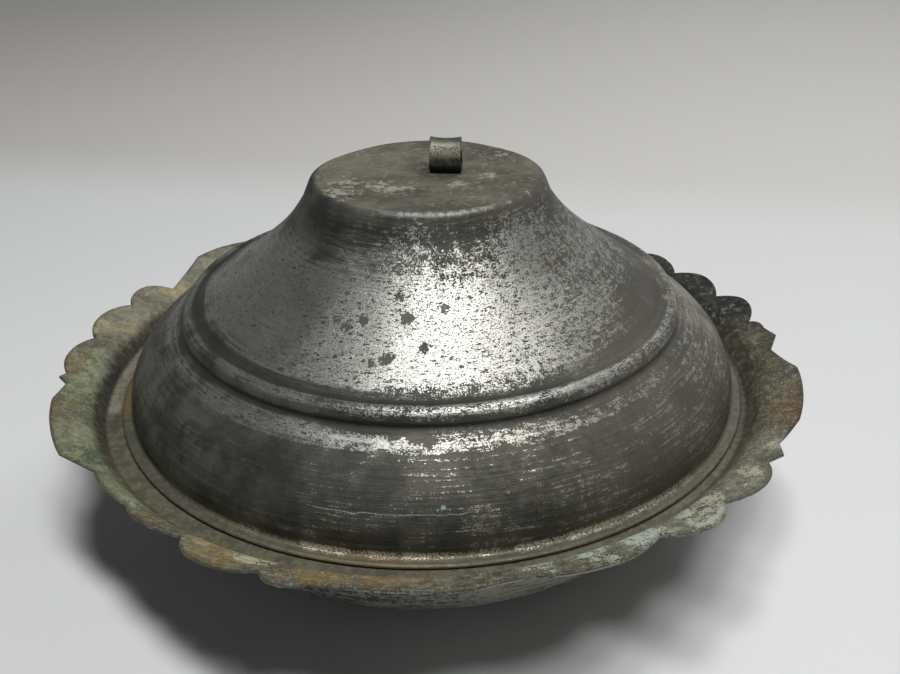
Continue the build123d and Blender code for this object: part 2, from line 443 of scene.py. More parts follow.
def bare_marks(p):
    """Pinholes, drawn-out flecks, larger blots and one pit in the tin."""
    pin_share = p.plus(0.035, p.times(p.even_clouds, 0.11))
    pinholes = p.cover(p.even(p.noise(p.place, 2.6, 2, 0.5), 0.082), pin_share, 0.04)
    drawn_out = p.noise(p.streaks(30.0, 0.85, -1), 1.0, 4, 0.6)
    fleck_share = p.plus(-0.005, p.times(p.even_clouds, 0.06))
    flecks = p.cover(p.even(drawn_out, 0.066), fleck_share, 0.02)
    bell_blots = (
        (-100, 48, 49, 1.6), (-97, 53, 45, 1.9), (-92, 60, 40, 1.7), (-101, 63, 38, 1.9),
        (-104, 64, 37, 1.3), (-110, 54, 44, 1.6), (-114, 56, 42, 1.6), (-118, 55, 43, 1.2),
        (-86, 51, 47, 1.2),
    )
    shoulder_blots = ((-93, 79, 26, 3.6), (-97, 79, 26, 2.8), (-91, 81, 25, 2.2))
    blots = p.most(*(p.spot(*blot, 0.2, p.wobble) for blot in bell_blots + shoulder_blots))
    pit = p.spot(-83.4, 96.4, 4.8, 1.4, 0.4)
    return p.most(pinholes, flecks, blots, pit)


def lid_grooves(p):
    """The dark grooves on both sides of the bead, wider on the left and the right."""
    return p.most(
        p.between(p.radius, 72.2, 74.4, 0.4),
        p.times(p.between(p.radius, 69.5, 74.4, 0.7), p.right_half),
        p.times(p.between(p.radius, 71.0, 74.4, 0.5), p.left),
        p.times(p.between(p.radius, 76.7, 79.0, 0.7), p.ramp(p.z, 28.3, 27.3)),
    )


def lid_patina(p, groove):
    """The dark skin under the tin, with veils, grime and soot."""
    patina = p.colour(p.even_clouds, DEEP_PATINA, PATINA)
    streaky = p.times(
        p.ramp(p.even(p.lines, 0.062), 0.30, 1.0),
        p.value(p.even_turning, 0.01, 0.15),
        p.value(p.satin, 1, 0.25),
    )
    patina = p.colour(streaky, patina, VEILED_AND_SHADED_TIN)
    grimy = p.times(p.even(p.clumps, 0.06), p.value(p.front_right, 0.1, 0.4))
    patina = p.colour(grimy, patina, WARM_GRIME)
    patina = p.colour(p.times(p.right_half, 0.40), patina, rgb(0.17, 0.16, 0.135))
    shut = p.times(groove, p.plus(0.75, p.times(p.right_half, -0.6)))
    patina = p.colour(shut, patina, DEEP_PATINA)
    under_lip = p.times(p.between(p.radius, 35.6, 39.5, 2.0), p.ramp(p.z, 66, 63))
    patina = p.colour(p.times(under_lip, p.value(p.left, 0.35, 0.75)), patina, SOOT)
    drift = p.plus(p.times(p.plus(p.clouds, -0.5), 60), p.times(p.plus(p.clumps, -0.5), 30))
    hazy = p.most(p.spot(6, 84, 21, 19, 1.0, drift), p.spot(-8, 86, 19, 13, 1.0, drift))
    hazy = p.times(hazy, p.value(p.even_turning, 0.35, 0.85))
    patina = p.colour(hazy, patina, rgb(0.42, 0.40, 0.33))
    foot = p.times(p.between(p.z, 1.4, 5.0, 2.0), p.even_turning, 0.5)
    return p.colour(foot, patina, WARM_GRIME)


def crown_patina(p, patina):
    """The flat crown: brown, hazed at the back and scuffed, with bare copper by the loop and a painted
    highlight on the front of its lip.
    """
    mix = p.plus(p.times(p.clouds, 0.62), p.times(p.clumps, 0.22), p.times(p.grain, 0.16))
    tone = p.colour(p.even(mix, 0.044), rgb(0.112, 0.104, 0.081), rgb(0.215, 0.201, 0.157))
    patina = p.colour(p.crown, patina, tone)
    hazed = p.spot(158, 24, 67, 21, 1.0)
    patina = p.colour(p.times(hazed, p.crown, 0.5), patina, rgb(0.34, 0.325, 0.26))
    scuffed = p.most(*(
        p.spot(angle, radius, 67, size, 1.0)
        for angle, radius, size in (
            (-147, 30, 8), (-162, 25, 7), (-145, 18, 7), (-124, 16, 6),
            (-50, 12, 4), (-6, 18, 5), (36, 30, 4),
        )
    ))
    flaked = p.even(p.plus(p.times(p.clumps, 0.65), p.times(p.grain, 0.35)), 0.044)
    scuffs = p.cover(flaked, p.times(scuffed, 0.64), 0.1)
    patina = p.colour(p.times(scuffs, p.crown, 0.85), patina, rgb(0.50, 0.485, 0.42))
    # painted highlight: a pale band on the front of the crown's rounded lip
    lip = p.times(
        p.between(p.radius, 33.6, 35.2, 0.6), p.ramp(p.z, 62, 65), p.toward(-84, 8, 36),
    )
    patina = p.colour(p.times(lip, p.value(flaked, 0.2, 0.9)), patina, rgb(0.40, 0.40, 0.38))
    copper = p.times(p.spot(2, 13.5, 67.2, 3.0, 1.0, p.times(p.wobble, 0.4)), 0.6)
    return p.colour(copper, patina, BARE_COPPER)


def bright_tin(p):
    """The tin's colour, duller on the front right, and greyed on the left as painted shade."""
    metal = p.colour(p.even(p.fine, 0.072), rgb(0.44, 0.44, 0.41), TIN)
    # painted shade: the tin on the left side is greyed towards dull tin
    metal = p.colour(p.times(p.left, 0.40), metal, VEILED_AND_SHADED_TIN)
    dulled = p.times(p.front_right, p.value(p.dome, 0.25, 0.70))
    return p.colour(dulled, metal, rgb(0.42, 0.40, 0.35))


def brim_colour(p, colour):
    """The brim, brown with ochre on the left."""
    mix = p.even(p.plus(p.times(p.clumps, 0.5), p.times(p.grain, 0.5)), 0.044)
    tone = p.colour(mix, rgb(0.110, 0.108, 0.084), rgb(0.195, 0.188, 0.145))
    ochre = p.times(p.toward(-106, 10, 22), p.even_turning, 0.5)
    tone = p.colour(p.most(ochre, p.times(p.toward(-176, 8, 14), 0.7)), tone, OCHRE)
    return p.colour(p.ramp(p.z, 1.9, 1.2), colour, tone)


def foot_glint(p):
    """A painted highlight: the broken glint where the dome rises from the brim, on its front."""
    line = p.times(
        p.between(p.radius, 95.5, 97.9, 0.4), p.ramp(p.z, 2.6, 1.6), p.toward(-82, 24, 46),
    )
    # speckle that breaks up the painted glint
    worn = p.even(
        p.plus(p.times(p.grain, 0.60), p.times(p.clumps, 0.20), p.times(p.turning, 0.20)), 0.042,
    )
    broken = p.ramp(p.noise(p.streaks(7.0, 0, -1), 1.0, 2), 0.40, 0.60, -0.45, 0.15)
    share = p.plus(p.ramp(p.radius, 96.0, 97.8, 0.62, 0.10), broken)
    return p.times(line, p.cover(worn, share, 0.2))


def scratched(p, colour):
    """A teal speck and a fine scratch along the front of the dome."""
    teal = p.spot(-88.9, 93.3, 13.4, 0.8, 0.5)
    colour = p.colour(p.times(teal, 0.9), colour, rgb(0.30, 0.46, 0.42))
    height = p.plus(p.z, p.times(p.noise(p.place, 0.12, 2), 2.4), -13.2)
    scratch = p.times(p.between(height, -0.07, 0.07, 0.10), p.toward(-97, 11, 13.5))
    faint = p.value(p.even(p.grain, 0.062), 0.5, 1.0)
    return p.colour(p.times(scratch, p.ramp(p.radius, 90, 92), faint), colour, TIN)


def lid_outside_paint():
    """Old tinning worn to flecks and streaks over dark patina, with pits and scratches."""
    p = LidPaint()
    bare = bare_marks(p)
    groove = lid_grooves(p)
    kept = p.plus(1, p.times(p.most(bare, p.times(groove, 0.9)), -1))
    tin = p.times(tin_left(p), kept)
    patina = crown_patina(p, lid_patina(p, groove))
    colour = brim_colour(p, p.colour(tin, patina, bright_tin(p)))
    # painted highlight: the glint at the dome's foot is laid into the colour
    glint = foot_glint(p)
    colour = scratched(p, p.colour(glint, colour, GLINT_HIGHLIGHT))

    rough = p.plus(0.56, p.times(p.plus(p.fine, -0.5), 0.3))
    tin_rough = p.plus(0.43, p.times(p.plus(p.grain, -0.5), 0.4))
    rough = p.value(p.most(tin, glint), rough, tin_rough)
    off_front = p.ramp(p.toward(-88, 10, 28), 0, 1, 1, 0)
    dull_lip = p.times(p.between(p.radius, 32.4, 36.4, 0.8), p.ramp(p.z, 58, 62), off_front)
    rough = p.value(p.times(dull_lip, 0.8), rough, 0.8)
    metallic = p.value(tin, 0.65, 1.0)
    pitted = p.plus(tin, p.times(bare, -0.5))
    p.relief((p.clouds, 0.45), (p.turning, 0.20), (pitted, 0.05), (p.grain, 0.07))
    return p.finish(colour, rough, metallic)


def lid_inside_paint():
    """The lid's tinned inside: duller and more even, with copper showing where it is worn."""
    p = Paint("lid_inside_tin", (*LID_CENTRE[:2], BRIM_MID))
    clouds = p.noise(p.place, 0.06, 5)
    grain = p.noise(p.place, 1.1, 4, 0.6)
    turning = p.noise(p.streaks(4.0, 1.1, -1), 1.0, 4, 0.6)
    worn = p.ramp(p.plus(clouds, p.times(grain, 0.4), p.times(turning, 0.3)), 0.78, 0.98)
    dull = p.colour(p.ramp(clouds, 0.35, 0.7), rgb(0.16, 0.15, 0.125), rgb(0.30, 0.29, 0.25))
    colour = p.colour(worn, dull, rgb(0.34, 0.21, 0.12))
    p.relief((clouds, 0.4), (turning, 0.12), (grain, 0.06))
    return p.finish(colour, p.plus(0.42, p.times(grain, 0.25)), 0.85)


def bowl_top_paint():
    """Flange, ledge and inside of the bowl: patches of verdigris, ochre, rust and tin."""
    p = Paint("bowl_patinated_copper")
    clouds = p.noise(p.place, 0.10, 5, 0.62)
    blots = p.noise(p.place, 0.36, 6, 0.70)
    grain = p.noise(p.place, 1.7, 4, 0.68)
    turning = p.noise(p.streaks(6.0, 0.8, 1), 1.0, 5, 0.65)
    ragged = p.plus(p.times(p.plus(clouds, -0.5), 44), p.times(p.plus(blots, -0.5), 18))
    mixed = p.even(p.plus(p.times(blots, 0.56), p.times(grain, 0.24), p.times(clouds, 0.20)), 0.041)
    inset = p.node("Attribute", attribute_name="rim_inset").outputs["Fac"]

    flange = p.ramp(p.plus(p.radius, p.times(p.plus(blots, -0.5), 5)), 103.6, 106.6)
    inside = p.ramp(p.radius, 92.5, 94.5, 1, 0)

    def patch(colour, tone, share, *spots):
        mask = p.most(*(p.spot(*spot, 0.6, ragged) for spot in spots))
        return p.colour(p.times(mask, share), colour, tone)

    colour = p.colour(mixed, rgb(0.105, 0.098, 0.070), OLIVE)
    colour = patch(colour, VERDIGRIS, 0.95, (-172, 112, 49, 24), (-152, 108, 48, 24), (-140, 106, 47, 18))
    colour = patch(
        colour, DARK_VERDIGRIS, 0.85,
        (-165, 107, 47, 13), (-151, 104, 46, 10), (-176, 108, 48, 8),
    )
    colour = patch(colour, PALE_VERDIGRIS, 0.8, (-178, 112, 49, 13), (-136, 107, 47, 9), (-160, 111, 48, 8))
    colour = patch(
        colour, rgb(0.175, 0.145, 0.075), 0.85,
        (-178, 115, 51, 10), (-164, 116, 51, 10), (-130, 109, 48, 9),
    )
    colour = patch(colour, OCHRE, 0.85, (-117, 111, 48, 12), (-103, 108, 47, 12), (-95, 106, 47, 13))
    colour = patch(colour, YELLOW, 0.75, (-121, 107, 47, 8), (-117, 105, 46, 6), (171, 115, 51, 7))
    colour = patch(colour, TAN, 0.9, (164, 112, 49, 22), (150, 111, 49, 20), (138, 110, 49, 16))
    colour = patch(colour, YELLOW, 0.6, (150, 109, 48, 7), (172, 113, 50, 5), (166, 106, 47, 5))
    colour = patch(
        colour, SLATE, 1.0,
        (14, 114, 50, 18), (28, 113, 50, 26), (42, 113, 50, 26), (58, 112, 50, 22),
    )
    colour = patch(colour, UMBER, 0.9, (-6, 112, 50, 22), (-20, 110, 49, 18), (6, 107, 47, 12))
    colour = patch(colour, RUST, 0.75, (-22, 115, 51, 9), (-17, 112, 50, 7))
    colour = patch(colour, rgb(0.105, 0.125, 0.082), 0.8, (-16, 107, 47, 8))
    colour = patch(
        colour, rgb(0.200, 0.195, 0.155), 0.85,
        (-44, 113, 50, 20), (-60, 110, 49, 18), (-33, 112, 50, 10),
    )
    shade = p.ramp(mixed, 0, 1, 0.76, 1.24)
    colour = p.vector("SCALE", colour, scale=shade)
    dim = p.times(p.toward(36, 26, 40), p.ramp(p.radius, 104, 107))
    colour = p.vector("SCALE", colour, scale=p.value(dim, 1.0, 0.72))

    # pale crusts, mint in front and cream on the right, and a dusting of pale specks
    crust_noise = p.even(p.plus(p.times(blots, 0.38), p.times(grain, 0.42), p.times(turning, 0.20)), 0.038)
    mint = p.most(*(
        p.spot(*spot, 0.8, ragged)
        for spot in ((-62, 110, 49, 13), (-69, 108, 48, 10), (-76, 107, 47, 10), (-53, 111, 49, 8))
    ))
    cream = p.most(*(
        p.spot(*spot, 0.8, ragged)
        for spot in ((-52, 114, 51, 10), (-42, 116, 51, 7), (-32, 116, 51, 4), (-112, 107, 47, 8))
    ))
    crust = p.cover(crust_noise, p.times(p.most(mint, cream), 0.80), 0.30)
    crust_tone = p.colour(p.ramp(p.plus(mint, p.times(cream, -1)), -0.3, 0.3), CREAM, MINT)
    colour = p.colour(p.times(crust, 0.85), colour, crust_tone)
    speck_share = p.value(p.toward(-95, 65, 110), -0.03, 0.09)
    specks = p.cover(p.even(p.noise(p.place, 1.5, 3, 0.6), 0.072), speck_share, 0.05)
    colour = p.colour(p.times(specks, flange, 0.55), colour, DUST)
    worn_edge = p.ramp(p.plus(inset, p.times(p.plus(grain, -0.5), 4)), 0.3, 1.7)
    colour = p.vector("SCALE", colour, scale=p.value(worn_edge, 0.55, 1.0))

    shown = p.toward(-95, 62, 78)
    ledge_tone = p.colour(mixed, rgb(0.050, 0.048, 0.036), rgb(0.115, 0.108, 0.082))
    ledge_tone = p.colour(p.times(shown, 0.8), ledge_tone, p.vector("SCALE", OLIVE[:3], scale=shade))
    pale = p.times(p.toward(178, 13, 15), p.between(p.radius, 98.5, 102.4, 0.6), p.ramp(p.z, 43.4, 42.6))
    ledge_tone = p.colour(p.times(pale, 0.85), ledge_tone, p.vector("SCALE", TAN[:3], scale=shade))
    amber = p.times(p.toward(-177, 6, 10), p.ramp(p.radius, 98.6, 97.8), 0.8)
    ledge_tone = p.colour(amber, ledge_tone, OCHRE)
    colour = p.colour(flange, ledge_tone, colour)
    # painted shadow: the riser on the left side is darkened
    riser = p.times(p.between(p.radius, 102.6, 105.6, 0.8), p.toward(178, 22, 38))
    colour = p.vector("SCALE", colour, scale=p.value(riser, 1.0, 0.55))
    pitch = p.ramp(p.plus(clouds, p.times(turning, 0.5)), 0.6, 0.95)
    basin = p.colour(pitch, rgb(0.34, 0.33, 0.29), rgb(0.16, 0.135, 0.10))
    colour = p.colour(inside, colour, basin)

    rough = p.plus(0.50, p.times(grain, 0.3), p.times(crust, 0.15), p.times(inside, -0.10))
    metallic = p.plus(0.40, p.times(inside, 0.5), p.times(crust, -0.35))
    p.relief((clouds, 0.6), (blots, 0.18), (turning, 0.08), (grain, 0.05), (crust, 0.08))
    return p.finish(colour, rough, metallic)


def bowl_under_paint():
    """The belly and the underside of the flange: dark, with pale streaks round it."""
    p = Paint("bowl_sooted_copper")
    clouds = p.noise(p.place, 0.06, 5, 0.6)
    clumps = p.noise(p.place, 0.55, 5, 0.68)
    grain = p.noise(p.place, 1.8, 4, 0.6)
    turning = p.noise(p.streaks(7.0, 0.9, 1), 1.0, 6, 0.66)
    mixed = p.plus(p.times(turning, 0.40), p.times(clumps, 0.30), p.times(grain, 0.30))
    share = p.plus(-0.04, p.times(p.even(clouds, 0.066), 0.34), p.times(p.toward(-62, 24, 44), 0.56))
    pale = p.cover(p.even(mixed, 0.036), share, 0.4)
    base = p.colour(p.even(clumps, 0.06), SOOT, rgb(0.095, 0.095, 0.080))
    colour = p.colour(p.times(pale, 0.8), base, rgb(0.29, 0.285, 0.235))
    copper = p.times(p.ramp(p.radius, 60, 20), p.ramp(clouds, 0.5, 0.62), 0.6)
    colour = p.colour(copper, colour, BARE_COPPER)
    p.relief((clouds, 0.6), (turning, 0.18), (grain, 0.12))
    return p.finish(colour, p.plus(0.42, p.times(grain, 0.3)), 0.5)


def loop_paint():
    """The strap loop: grey-green tinning, worn at the bends, with painted shade turning its lower part near
    black.
    """
    p = Paint("loop_worn_tin", (*RIVET_CENTRE[:2], loop_low[2]))
    clouds = p.noise(p.place, 0.35, 4)
    grain = p.noise(p.place, 2.4, 5, 0.62)
    height = loop_high[2] - loop_low[2]
    base = p.colour(p.even(clouds, 0.07), rgb(0.085, 0.088, 0.070), rgb(0.150, 0.153, 0.123))
    belt = p.between(p.z, 0.52 * height, 0.84 * height, 1.4)
    worn = p.times(belt, p.cover(p.even(grain, 0.064), 0.70, 0.3))
    colour = p.colour(p.times(worn, 0.9), base, rgb(0.60, 0.59, 0.50))
    # painted shade: the loop's lower part, where it curls under, is darkened to near black
    dark = p.ramp(p.plus(p.z, p.times(p.plus(clouds, -0.5), 5)), 0.20 * height, 0.60 * height, 1, 0)
    colour = p.colour(p.times(dark, 0.9), colour, rgb(0.018, 0.018, 0.017))
    p.relief((clouds, 0.22), (grain, 0.10))
    return p.finish(colour, p.plus(0.42, p.times(grain, 0.3)), 0.8)


def rivet_paint():
    """Hammered copper gone brown."""
    p = Paint("rivet_brown_copper", tuple(RIVET_CENTRE))
    clouds = p.noise(p.place, 0.5, 4)
    grain = p.noise(p.place, 3.0, 4, 0.6)
    base = p.colour(p.ramp(clouds, 0.35, 0.65), rgb(0.10, 0.062, 0.040), rgb(0.30, 0.165, 0.095))
    colour = p.colour(p.times(p.ramp(grain, 0.55, 0.68), 0.5), base, rgb(0.15, 0.20, 0.145))
    p.relief((p.cells(p.place, 0.9, "SMOOTH_F1").outputs["Distance"], 0.25), (grain, 0.08))
    return p.finish(colour, p.plus(0.40, p.times(grain, 0.3)), 0.85)


# ---------------------------------------------------------------- lid
LID_ANGLES = np.arange(480) * 360 / 480
TAIL_OVERHANG = 1.1       # how far the rivet's tail reaches past its hole
HOLE_RADIUS = (rivet_high[0] - rivet_low[0]) / 2 - TAIL_OVERHANG
BRIM_EDGE = (99.5, 0)     # radius and height, above the middle of the brim's sheet
DOME_FOOT = (96, 3.5)
DOME_HEAD = (77.0, 26.4)
BEAD_CREST = (77.2, 29.2)
BEAD_HEAD = (75.2, 31.0)
BELL_FOOT = (73.4, 30.3)
BELL_HEAD = (37.6, 61.0)
CROWN_LIP = (34.8, 67.4)
CROWN_HEIGHT = 66.7
LID_DENT = 0.28           # height of the soft dents in the lid


def lid_middle():
    """The middle of the lid's sheet, from the brim's edge to its hole, above BRIM_MID."""
    brim = rounded((BRIM_EDGE, (DOME_FOOT[0], 0), DOME_FOOT), (1.5,), 1.0)
    dome = bezier(DOME_FOOT, (DOME_FOOT[0], 12.5), (88.0, 20.3), DOME_HEAD, 22)
    bead = arc(DOME_HEAD, BEAD_CREST, BEAD_HEAD, 7)
    bell = bezier(BELL_FOOT, (57.0, 41.0), (47.0, 47.0), BELL_HEAD, 26)
    flat = ((15.0, CROWN_HEIGHT), (HOLE_RADIUS, CROWN_HEIGHT))
    crown = rounded((BELL_HEAD, CROWN_LIP, *flat), (2.0, 30.0), 1.8)
    return joined(brim, dome, bead, bell, crown)


def make_lid():
    middle = lid_middle()
    outer, inner = sheet_sides(middle, normals_of(middle), LID_SHEET)
    if outer[len(outer) // 2, 1] < inner[len(inner) // 2, 1]:
        outer, inner = inner, outer
    lip = [(middle[0][0] + LID_SHEET * LID_EDGE_ROUND, middle[0][1])]
    section = np.concatenate((lip, outer, inner[::-1]))
    grid = turned(section, LID_ANGLES) + (*LID_CENTRE[:2], BRIM_MID)
    # the hole is where the rivet is, a little off the lid's axis
    pull = 1 - faded(section[:, 0], 4.0, 26.0)
    grid[:, :, :2] += pull[:, None, None] * (RIVET_CENTRE[:2] - LID_CENTRE[:2])
    depth = faded(section[:, 1], 2.0, 12.0) * faded(section[:, 0], 8.0, 20.0)
    dents = 0.6 * ripple(grid * (1, 1, 0.5), 55, 3) + 0.4 * ripple(grid, 21, 4)
    away = grid - (*LID_CENTRE[:2], BRIM_MID)
    away /= np.linalg.norm(away, axis=2)[:, :, None]
    grid = grid + away * (dents * depth[:, None] * LID_DENT)[:, :, None]
    lid = skin("lid_shell", grid, closed=True, split=len(outer) + 1)
    lid.data.materials.append(lid_outside_paint())
    lid.data.materials.append(lid_inside_paint())
    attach(lid, "lid")
    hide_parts("lid")


# ---------------------------------------------------------------- bowl
# the rim's crests: shape, last angle, radius of the notch there, greatest radius, and lean,
# which is the share of a lobe's span that each shoulder takes, or the place of the highest
# point in another crest's span
RIM_CRESTS = (
    ("lobe", -3.0, 113.0, 118.0, 0.25),
    ("cusp", 4.0, 115.0, 116.5, 0.5),
    ("scallop", 7.0, 112.0, 115.0, 0.5),
    ("scallop", 19.0, 112.5, 117.0, 0.5),
    ("scallop", 31.0, 112.0, 116.5, 0.5),
    ("scallop", 42.0, 112.5, 116.5, 0.5),
    ("lobe", 71.0, 112.5, 117.5, 0.25),
    ("scallop", 84.0, 112.5, 117.0, 0.5),
    ("scallop", 97.0, 112.5, 117.0, 0.5),
    ("scallop", 110.0, 113.0, 117.0, 0.5),
    ("cusp", 115.0, 113.0, 117.0, 0.5),
    ("lobe", 150.0, 111.0, 119.0, 0.3),
    ("scallop", 160.0, 114.0, 117.5, 0.5),
    ("scallop", 173.0, 114.0, 118.5, 0.5),
    ("scallop", 185.0, 115.5, 118.0, 0.5),
    ("cusp", 188.0, 114.5, 117.0, 0.5),
    ("lobe", 214.0, 110.5, 117.0, 0.2),
    ("scallop", 224.0, 110.0, 111.5, 0.5),
    ("scallop", 236.0, 110.0, 113.0, 0.6),
    ("scallop", 249.5, 114.0, 118.0, 0.6),
    ("scallop", 256.0, 115.0, 118.5, 0.6),
    ("lobe", 281.5, 114.5, 116.0, 0.2),
    ("scallop", 300.5, 112.0, 117.0, 0.5),
    ("scallop", 311.0, 114.5, 119.0, 0.4),
    ("scallop", 323.0, 115.0, 119.0, 0.6),
    ("cusp", 328.0, 115.0, 118.0, 0.3),
)
LOBE_CROWNING = 0.4       # how far the middle of a lobe stands out past its corners
RIM_PLAY = 0.05           # how far the shown rim stays inside the cut one
BASE_RADIUS = 46.0
MOUTH = (93.0, 36.0)      # radius and height where the belly ends
LEDGE_MID = 41.4          # height of the middle of the ledge's sheet
RISER_FOOT = 103.0
RISER_HEAD = (107.0, 46.9)
BEND = 1.8                # radius of the bends
FLANGE_SLOPE = math.tan(math.radians(22.0))
FLANGE_START = (108.5, 48.1)      # on the middle of the sheet, past the riser's bend
FLANGE_BLANK = 10.0       # width of the flange before its points slide to the rim
FLANGE_STEPS = 12
FLANGE_WAVE = 0.55        # height of the long wave of the rim
FLANGE_RIPPLE = 0.35      # height of the short ripples on it
FLANGE_DENT = 0.2
BELLY_DENT = 0.35         # depth of the dents, on the belly and inwards only


def rim_point(angle, radius):
    a = math.radians(angle)
    return np.array((radius * math.cos(a), radius * math.sin(a)))


def rim_run(shape, start, start_notch, end, end_notch, radius, lean):
    """Points of one crest of the rim, without its last."""
    first, last = rim_point(start, start_notch), rim_point(end, end_notch)
    if shape == "lobe":
        right, left = (rim_point(start + share * (end - start), radius) for share in (lean, 1 - lean))
        top = rim_point((start + end) / 2, radius + LOBE_CROWNING)
        crest = arc(right, top, left, 24)
        return joined(straight(first, right, 1.2), crest, straight(left, last, 1.2))[:-1]
    peak = rim_point(start + lean * (end - start), radius)
    if shape == "cusp":
        return joined(straight(first, peak, 0.5), straight(peak, last, 0.5))[:-1]
    return arc(first, peak, last, 21)[:-1]


def rim():
    """The scalloped outline, as angle and radius."""
    start, start_notch = RIM_CRESTS[-1][1] - 360, RIM_CRESTS[-1][2]
    runs = []
    for shape, end, end_notch, radius, lean in RIM_CRESTS:
        runs.append(rim_run(shape, start, start_notch, end, end_notch, radius, lean))
        start, start_notch = end, end_notch
    points = np.concatenate(runs)
    return np.degrees(np.arctan2(points[:, 1], points[:, 0])), np.linalg.norm(points, axis=1) - RIM_PLAY


def bowl_middle():
    """The middle of the bowl's sheet, from its centre to where the flange starts."""
    base_edge = (BASE_RADIUS, BOWL_SHEET / 2)
    base = straight((0, BOWL_SHEET / 2), base_edge, 4.6)
    below = ((BASE_RADIUS + MOUTH[0]) / 2, BOWL_SHEET / 2)
    belly = bezier(base_edge, below, (MOUTH[0], MOUTH[1] / 2), MOUTH, 22)
    corners = (MOUTH, (MOUTH[0], LEDGE_MID), (RISER_FOOT, LEDGE_MID), RISER_HEAD, FLANGE_START)
    ledge = rounded(corners, (BEND, BEND, BEND), 1.2)
    return joined(base, belly, ledge)


def mark_rim(bowl, angles, reach):
    """Notes at each point how far it lies inside the rim, in millimetres, for the paint."""
    spot = np.array([v.co for v in bowl.data.vertices]) / MM
    turn = np.degrees(np.arctan2(spot[:, 1], spot[:, 0]))
    order = np.argsort(angles)
    edge = np.interp(turn, angles[order], reach[order], period=360)
    inset = edge - np.linalg.norm(spot[:, :2], axis=1)
    noted = bowl.data.attributes.new("rim_inset", "FLOAT", "POINT")
    noted.data.foreach_set("value", inset.astype(np.float32))


def make_bowl():
    angles, reach = rim()
    middle = bowl_middle()
    share = np.linspace(0, 1, FLANGE_STEPS + 1)[1:] ** 0.85
    share[-2] = 0.95
    run = share * FLANGE_BLANK
    blank = np.stack((FLANGE_START[0] + run, FLANGE_START[1] + run * FLANGE_SLOPE), axis=1)
    line = np.concatenate((middle, blank))
    inner, outer = sheet_sides(line, normals_of(line), BOWL_SHEET)
    if inner[10, 1] < outer[10, 1]:
        inner, outer = outer, inner
    edge_round = BOWL_SHEET * BOWL_EDGE_ROUND
    lip = line[-1:] + (edge_round, 0)
    section = np.concatenate((inner, lip, outer[::-1]))
    flange_share = np.concatenate((np.zeros(len(middle)), share))
    flange_share = np.concatenate((flange_share, [1.0], flange_share[::-1]))[:, None]
    grid = turned(section, angles)
    # the flange's points slide out or in to the rim of their own angle
    direction = np.stack((np.cos(np.radians(angles)), np.sin(np.radians(angles))), axis=1)
    slide = flange_share * (reach - edge_round - FLANGE_START[0] - FLANGE_BLANK)
    grid[:, :, :2] += slide[:, :, None] * direction
    grid[:, :, 2] += slide * FLANGE_SLOPE
    wave = 0.6 * np.sin(np.radians(3 * angles + 40)) + 0.4 * np.sin(np.radians(8 * angles + 10))
    grid[:, :, 2] += flange_share**2 * (FLANGE_WAVE * wave + FLANGE_RIPPLE * ripple(grid, 24, 8))
    dents = 0.5 * ripple(grid, 42, 5) + 0.5 * ripple(grid, 17, 6)
    belly = faded(section[:, 0], 48, 60) * faded(-section[:, 1], -38, -32)
    grid[:, :, :2] -= (np.abs(dents) * belly[:, None] * BELLY_DENT)[:, :, None] * direction
    grid[:, :, 2] += dents * flange_share * FLANGE_DENT
    bowl = skin("bowl_shell", grid, poles=True, split=len(inner))
    mark_rim(bowl, angles, reach)
    bowl.data.materials.append(bowl_top_paint())
    bowl.data.materials.append(bowl_under_paint())
    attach(bowl, "bowl")
    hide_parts("bowl")


# ---------------------------------------------------------------- strap loop, rivet and washer
LOOP_YAW = 6.0            # how far the loop stands askew
LOOP_WIDTH = 9.6
LOOP_DEPTH = 8.4
STRAP = 0.8               # thickness of the strap
STRAP_DISH = 0.45         # how far the strap's middle lies below its curled edges
WIDTH_STEPS = 14


def make_loop():
    height = loop_high[2] - loop_low[2]
    side = LOOP_DEPTH / 2 - STRAP / 2
    lower, upper, top = STRAP / 2, STRAP * 1.5 + 0.06, height - STRAP / 2
    corners = ((-2.0, lower), (side, lower), (side, top), (-side, top), (-side, upper), (2.0, upper))
    middle = rounded(corners, (1.8, 2.8, 2.8, 1.8), 0.5, 9)
    normal = normals_of(middle)
    left, right = sheet_sides(middle, normal, STRAP)
    tip = (middle[-1] - middle[-2]) / np.linalg.norm(middle[-1] - middle[-2]) * 0.15
    section = np.concatenate((left, [middle[-1] + tip], right[::-1], [middle[0] - (0.15, 0)]))
    inward = np.concatenate((normal, normal[-1:], normal[::-1], normal[:1]))
    lift = faded(section[:, 1], 2.2, 4.0)
    across = np.linspace(-1, 1, WIDTH_STEPS + 1)
    rows = []
    for share in across:
        dish = STRAP_DISH * (1 - abs(share) ** 2.5) * lift
        narrow = 1 - 0.03 * lift
        outline = section + inward * dish[:, None]
        along = np.full(len(section), share * LOOP_WIDTH / 2) * narrow
        rows.append(np.stack((along, outline[:, 0], outline[:, 1]), axis=1))
    grid = np.array(rows)
    grid += ripple(grid, 6.0, 9)[:, :, None] * (0, 0.05, 0.03)
    grid[:, :, 2] = np.clip(grid[:, :, 2], 0, height)
    yaw = math.radians(-LOOP_YAW)
    turn = np.array(((math.cos(yaw), -math.sin(yaw), 0), (math.sin(yaw), math.cos(yaw), 0), UP))
    grid = grid @ turn.T + (*RIVET_CENTRE[:2], loop_low[2])
    # the strap's two cut edges are closed by a strip of faces across its thickness
    loop = skin("strap_loop", grid)
    close_strap_edges(loop, grid.shape[1], len(left))
    loop.data.materials.append(loop_paint())
    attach(loop, "loop")
    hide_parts("handle_loop")


